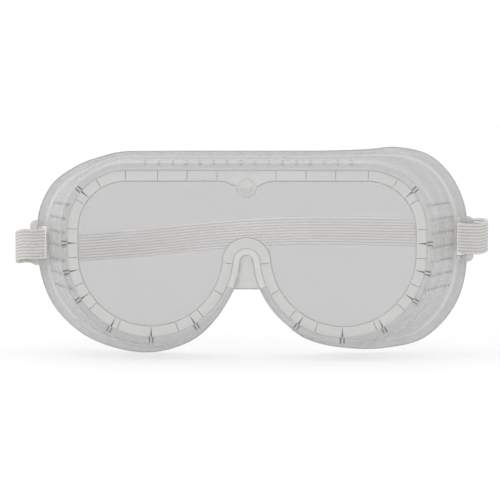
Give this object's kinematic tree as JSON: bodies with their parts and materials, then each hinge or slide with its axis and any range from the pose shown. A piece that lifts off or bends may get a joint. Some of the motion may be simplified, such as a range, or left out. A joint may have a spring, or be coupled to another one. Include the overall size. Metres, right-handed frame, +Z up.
{
  "type": "safety goggles",
  "caption": "Clear one-piece splash goggles with a flat lens, rows of vent holes and a ribbed elastic head strap.",
  "frame": {"origin": "on the surface that the goggles stand on, under the middle of the goggles and strap", "axes": "+Z up as worn, -Y the way the lens faces, +X towards the wearer's left"},
  "size_m": [0.196, 0.1326, 0.0832],
  "materials": {
    "clear_pvc": "clear soft PVC, slightly cloudy, glossy",
    "clear_lens": "clear polycarbonate sheet, polished",
    "strap_elastic": "white ribbed woven elastic",
    "strap_thread": "white polyester thread"
  },
  "bodies": {
    "frame": {"lens_rim": "clear_pvc", "lens": "clear_lens", "brow_wall": "clear_pvc", "temple_wall_left": "clear_pvc", "temple_wall_right": "clear_pvc", "cheek_wall_left": "clear_pvc", "cheek_wall_right": "clear_pvc", "nose_wall_left": "clear_pvc", "nose_wall_right": "clear_pvc", "nose_bridge": "clear_pvc", "strap_ear_left": "clear_pvc", "strap_ear_right": "clear_pvc", "strap_loop_left": "strap_elastic", "strap_loop_right": "strap_elastic", "strap_stitch_left": "strap_thread", "strap_stitch_right": "strap_thread"},
    "strap": {"head_strap": "strap_elastic"}
  },
  "joints": [
    {"name": "strap_swing", "type": "hinge", "parent": "frame", "child": "strap", "pos_m": [0, 0.0003, 0.04473], "axis": [1, 0, 0], "range_deg": [-20, 35], "stiffness_Nm_per_rad": 0.08}
  ]
}
